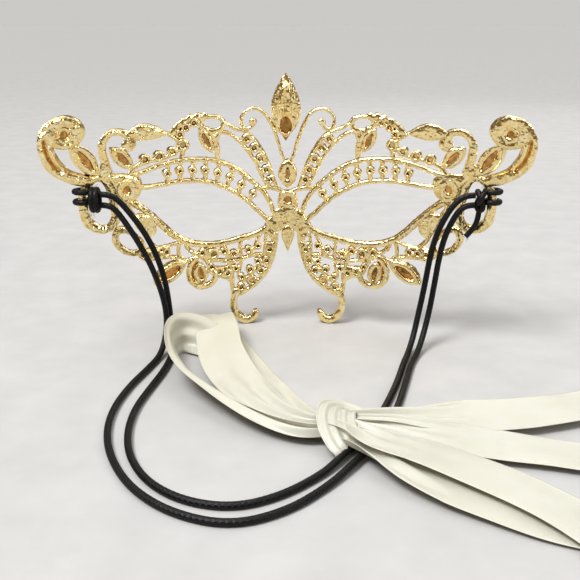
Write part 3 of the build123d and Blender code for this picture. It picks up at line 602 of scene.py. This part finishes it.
# ---------------------------------------------------------------- satin ribbon
def smooth_rows(rows, count):
    """Rows of numbers, resampled on a smooth curve through them."""
    rows = np.array(rows, dtype=float)
    padded = np.vstack([2 * rows[0] - rows[1], rows, 2 * rows[-1] - rows[-2]])
    spans = len(rows) - 1
    result = []
    for t in np.linspace(0, spans, count):
        i = min(int(t), spans - 1)
        f = t - i
        a, b, c, d = padded[i:i + 4]
        result.append(0.5 * (2 * b + (c - a) * f + (2 * a - 5 * b + 4 * c - d) * f**2
                             + (3 * b - a - 3 * c + d) * f**3))
    return np.array(result)


RIBBON_STEP = 0.8        # from one row of a ribbon's points to the next, in millimetres
RIBBON_COLUMNS = 44      # how many faces lie side by side across a ribbon
NARROWEST = 3.0          # the least width a gathered ribbon shows, in millimetres
TALLEST_PLEAT = 1.6      # in millimetres
TABLE_GAP = 0.2          # between a ribbon and the table, in millimetres


def ribbon(name, stations, pleats=2.5, wave=0.35, seed=0, flat_width=RIBBON / MM, thick=0.22):
    """Mesh of a length of ribbon, and its length. Each station is x, y and height above the table
    of the middle line, the width that shows there and that width's tilt in degrees, in millimetres."""
    length = np.linalg.norm(np.diff(np.array(stations)[:, :3], axis=0), axis=1).sum()
    count = max(40, int(length / RIBBON_STEP))
    rows = smooth_rows(stations, count)
    line = rows[:, :3].copy()
    line[:, 2] += TABLE / MM
    ahead = np.gradient(line, axis=0)
    ahead /= np.linalg.norm(ahead, axis=1)[:, None]
    level = np.cross(ahead, (0, 0, 1))
    level /= np.linalg.norm(level, axis=1)[:, None]
    upward = np.cross(level, ahead)
    tilt = np.radians(rows[:, 4])[:, None]
    across = level * np.cos(tilt) + upward * np.sin(tilt)
    above = upward * np.cos(tilt) - level * np.sin(tilt)
    width = np.clip(rows[:, 3], NARROWEST, flat_width)
    gathered = np.maximum(2 * ((flat_width / width)**2 - 1), 0)
    pleat_height = width / (2 * math.pi * pleats) * np.sqrt(gathered)
    pleat_height = np.minimum(pleat_height, TALLEST_PLEAT)
    share = np.linspace(-1, 1, RIBBON_COLUMNS + 1)
    along = np.concatenate(([0], np.cumsum(np.linalg.norm(np.diff(line, axis=0), axis=1))))
    points, uvs = [], []
    for i in range(count):
        for k, u in enumerate(share):
            ripple = wave * noise.noise(Vector((u * 1.1 + seed * 7, along[i] / 22, seed)))
            fold = pleat_height[i] * math.sin(math.pi * pleats * u + 0.6 * math.sin(along[i] / 9 + seed))
            points.append(line[i] + across[i] * (u * width[i] / 2) + above[i] * (fold + ripple))
            uvs.append((u * flat_width / 2 * MM, along[i] * MM))
    index = np.arange(len(points)).reshape(count, RIBBON_COLUMNS + 1)
    corners = (index[:-1, :-1], index[:-1, 1:], index[1:, 1:], index[1:, :-1])
    faces = np.stack(corners, axis=-1).reshape(-1, 4).tolist()
    points = np.array(points)
    points[:, 2] = np.maximum(points[:, 2], TABLE / MM + TABLE_GAP + thick)
    mesh = bpy.data.meshes.new(name)
    mesh.from_pydata((points * MM).tolist(), [], faces)
    layer = mesh.uv_layers.new(name="UVMap")
    for loop in mesh.loops:
        layer.data[loop.index].uv = uvs[loop.vertex_index]
    mesh.update()
    holder = bpy.data.objects.new(name, mesh)
    SCENE.collection.objects.link(holder)
    solid = holder.modifiers.new("solid", "SOLIDIFY")
    solid.thickness = thick * MM
    solid.offset = 0
    finished = baked(holder)
    bpy.data.objects.remove(holder)
    return finished, length


BIG_LOOP = [
    (12, -106, 4.4, 8, 0), (6, -104, 4.4, 10, 0), (-3, -91, 3.6, 15, 2), (-10, -76, 2.8, 18, 4),
    (-16, -60, 2.2, 18, 4), (-22, -44, 2.0, 18, 2), (-28, -28, 2.6, 18, 0), (-32, -18, 4.2, 18, -4),
    (-33.5, -15.5, 6.8, 18, -8), (-32.6, -19, 9.2, 18, -10), (-29.5, -34, 9.4, 18, -12),
    (-27, -51, 8.6, 18, -12), (-22, -69, 7.8, 18, -10), (-14, -87, 7.2, 17, -6), (-3, -102, 7.0, 13, 0),
    (7, -109.5, 6.6, 9, 0), (13, -110, 6.2, 8, 0)]
SMALL_LOOP = [
    (13, -111, 4.8, 8, 0), (4, -111, 4.6, 8, -8), (-8, -104, 4.8, 10, -22), (-20, -92, 5.4, 13, -34),
    (-32, -79, 6.2, 15, -44), (-40, -67, 7.4, 16, -56), (-45, -54, 8.4, 16, -70), (-47, -43, 8.8, 16, -82),
    (-44.5, -35, 8.6, 16, -76), (-38, -33.5, 7.0, 17, -52), (-30, -37, 4.0, 17, -24), (-22, -46, 1.6, 17, -6),
    (-15, -60, 1.2, 17, 0), (-9, -78, 1.4, 15, 0), (-1, -95, 2.4, 12, 0), (8, -106, 3.4, 9, 0)]
TAILS = (
    [(15, -113, 4.0, 8, 0), (22, -119, 4.6, 8, 0), (30, -127, 4.8, 13, 4), (39, -136, 3.6, 17, 6),
     (49.5, -144.5, 2.4, 18, 4), (61, -152, 1.8, 18, 2), (72, -158.5, 1.4, 18, 0), (83, -163, 1.2, 18, 0),
     (93, -166, 1.2, 18, 0)],
    [(15, -108, 5.0, 8, 0), (24, -110, 5.4, 9, 0), (35, -113, 5.6, 13, -4), (46, -115.5, 5.0, 17, -6),
     (58, -118, 4.2, 18, -4), (70, -120, 3.2, 18, -2), (82, -122.5, 2.6, 18, 0), (95, -126, 2.4, 18, 0),
     (120, -131, 2.4, 18, 0)],
    [(15, -105, 5.6, 7, 0), (23, -105.5, 5.8, 8, 0), (35, -105, 5.8, 11, -4), (48, -105, 5.6, 15, -8),
     (62, -103.5, 5.4, 18, -10), (76, -101, 4.8, 18, -8), (90, -97, 4.2, 18, -4), (104, -92, 3.8, 18, -2),
     (122, -84, 3.6, 18, 0)],
    [(15, -110, 6.4, 8, 0), (21, -115, 7.0, 10, 4), (29, -121, 6.6, 17, 6), (41, -127, 5.6, 18, 6),
     (52.5, -134, 4.6, 18, 4), (63, -142, 3.9, 18, 3), (72, -150.5, 3.4, 18, 2), (80, -160, 3.0, 18, 1),
     (88, -172, 2.6, 18, 0)])

LOOPS = {"ribbon_big_loop": BIG_LOOP, "ribbon_small_loop": SMALL_LOOP}
loops = {}
for seed, (name, stations) in enumerate(LOOPS.items(), 1):
    mesh, length = ribbon(name, stations, seed=seed)
    loops[name] = add_object(name, mesh, SATIN, "strap")
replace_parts(loops["ribbon_big_loop"], "ribbon_loops")
for number, stations in enumerate(TAILS, 1):
    mesh, length = ribbon(f"ribbon_tail_{number}", stations, seed=10 + number)
    tail = add_object(f"ribbon_tail_{number}", mesh, SATIN, "strap")
    if number == 1:
        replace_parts(tail, "ribbon_tails")

# The ribbon's edges are folded under where it goes round the knot, so less of its width shows.
KNOT_BAND_WIDTH = 14.5
KNOT_BAND = [
    (21.2, -102.0, 2.6, 12.5, 10), (20.2, -101.0, 5.2, 12.5, 8), (18.4, -102.0, 7.6, 13, 6),
    (16.6, -105.8, 8.7, 13, 6), (16.0, -111, 8.4, 13, 4), (16.6, -116.5, 7.0, 13, 2),
    (18.2, -120.2, 4.8, 12.5, 0), (19.8, -121.8, 2.4, 12, 0)]
mesh, length = ribbon("ribbon_knot_band", KNOT_BAND, pleats=4, wave=0.5, seed=20,
                      flat_width=KNOT_BAND_WIDTH)
knot_band = add_object("ribbon_knot_band", mesh, SATIN, "strap")
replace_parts(knot_band, "ribbon_knot")

# ---------------------------------------------------------------- table, light
TABLE_REACH = 40.0       # from the middle of the table to each side
CORNERS = [(-1, -1), (1, -1), (1, 1), (-1, 1)]
table_mesh = bpy.data.meshes.new("table")
table_mesh.from_pydata([(TABLE_REACH * x, TABLE_REACH * y, TABLE) for x, y in CORNERS], [], [(0, 1, 2, 3)])
table = bpy.data.objects.new("table", table_mesh)
table.data.materials.append(TABLE_MATERIAL)
SCENE.collection.objects.link(table)


def soft_light(name, place, size, watts, colour=(1, 1, 1)):
    """A square light that faces the middle of the mask."""
    data = bpy.data.lights.new(name, "AREA")
    data.size = size
    data.energy = watts
    data.color = colour
    light = bpy.data.objects.new(name, data)
    light.location = place
    light.rotation_euler = (Vector((0, -0.03, 0)) - Vector(place)).to_track_quat("-Z", "Y").to_euler()
    SCENE.collection.objects.link(light)


soft_light("key", (-0.42, -0.45, 0.75), 0.22, 2.9)
soft_light("fill", (0.75, -0.65, 0.40), 0.20, 1.5)
soft_light("top", (0.1, 0.15, 1.0), 0.40, 0.9)
soft_light("behind", (0.35, 0.9, 0.55), 0.4, 1.3)
daylight = bpy.data.lights.new("daylight", "SUN")
daylight.energy = 2.5
daylight.angle = math.radians(24)
daylight_holder = bpy.data.objects.new("daylight", daylight)
daylight_holder.rotation_euler = Vector((0.35, 0.3, -0.9)).to_track_quat("-Z", "Y").to_euler()
SCENE.collection.objects.link(daylight_holder)

# What the gold reflects: grey at and below the horizon, dark warm walls above it, then a white
# ceiling. The first number of each stop is the sine of its height above the horizon.
HORIZON = (0.47, 0.47, 0.475)
SKY_STOPS = ((0.10, (0.17, 0.115, 0.06)), (0.44, (0.17, 0.12, 0.07)), (0.58, (0.95, 0.95, 0.95)),
             (1.0, (1.15, 1.15, 1.15)))
BACKDROP = (0.60, 0.588, 0.57)   # what the camera sees in place of that room
world = bpy.data.worlds.new("world")
world.use_nodes = True
sky = world.node_tree
height = sky.nodes.new("ShaderNodeSeparateXYZ")
sky.links.new(sky.nodes.new("ShaderNodeTexCoord").outputs["Generated"], height.inputs["Vector"])
ramp = sky.nodes.new("ShaderNodeValToRGB")
sky.links.new(height.outputs["Z"], ramp.inputs["Fac"])
stops = ramp.color_ramp.elements
stops.remove(stops[1])
stops[0].color = (*HORIZON, 1)
for at, colour in SKY_STOPS:
    stops.new(at).color = (*colour, 1)
backdrop = sky.nodes.new("ShaderNodeMix")
backdrop.data_type = "RGBA"
sky.links.new(sky.nodes.new("ShaderNodeLightPath").outputs["Is Camera Ray"], backdrop.inputs[0])
sky.links.new(ramp.outputs["Color"], backdrop.inputs[6])
backdrop.inputs[7].default_value = (*BACKDROP, 1)
sky.links.new(backdrop.outputs[2], sky.nodes["Background"].inputs["Color"])
SCENE.world = world
SCENE.view_settings.view_transform = "Standard"
